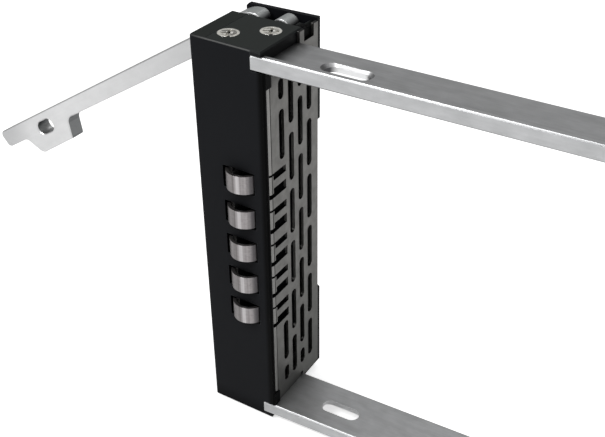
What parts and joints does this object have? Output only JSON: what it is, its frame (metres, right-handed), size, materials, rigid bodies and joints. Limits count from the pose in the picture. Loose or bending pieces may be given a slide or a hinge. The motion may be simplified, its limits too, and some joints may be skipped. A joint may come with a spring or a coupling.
{
  "type": "hot swap drive carrier",
  "caption": "Hot swap carrier for a 3.5 inch drive: slim black end housing with spring contact fingers, vent plate, slotted side rails and a swinging hooked lever.",
  "frame": {"origin": "middle of the housing's foot, on its lower face", "axes": "+X along the rails towards the drive, +Y across the carrier's thickness towards the lever, +Z from the lower rail to the upper one"},
  "size_m": [0.2515, 0.0294, 0.1122],
  "materials": {
    "black_housing": "satin",
    "black_cap": "satin",
    "black_plate": "satin",
    "black_knob": "satin",
    "satin_steel": "satin",
    "rail_aluminium": "satin",
    "lever_aluminium": "satin",
    "nickel_screws": "polished",
    "dark_screws": "satin",
    "nut_steel": "satin",
    "pin_steel": "satin",
    "spring_steel": "satin",
    "nylon": "matte"
  },
  "bodies": {
    "carrier": {"housing": "black_housing", "top_cap": "black_cap", "foot_cap": "black_cap", "side_plate": "black_plate", "side_plate_screws": "dark_screws", "vent_plate": "satin_steel", "top_rail": "rail_aluminium", "foot_rail": "rail_aluminium", "top_cap_screws": "nickel_screws", "foot_cap_screws": "nickel_screws", "top_inserts": "nut_steel", "foot_inserts": "nut_steel", "pivot_pin": "pin_steel", "pivot_washers": "nylon", "detent_spring": "spring_steel", "detent_screw": "nickel_screws"},
    "lever_body": {"lever": "lever_aluminium"},
    "lock_body": {"lock_bolt": "pin_steel", "lock_knob": "black_knob"}
  },
  "joints": [
    {"name": "lever_pivot", "type": "hinge", "parent": "carrier", "child": "lever_body", "pos_m": [-0.0065, 0.00825, 0.1075], "axis": [0, -1, 0], "range_deg": [0, 57.8]},
    {"name": "lock_slide", "type": "slide", "parent": "carrier", "child": "lock_body", "axis": [0, 1, 0], "range_m": [0, 0.0034]}
  ]
}
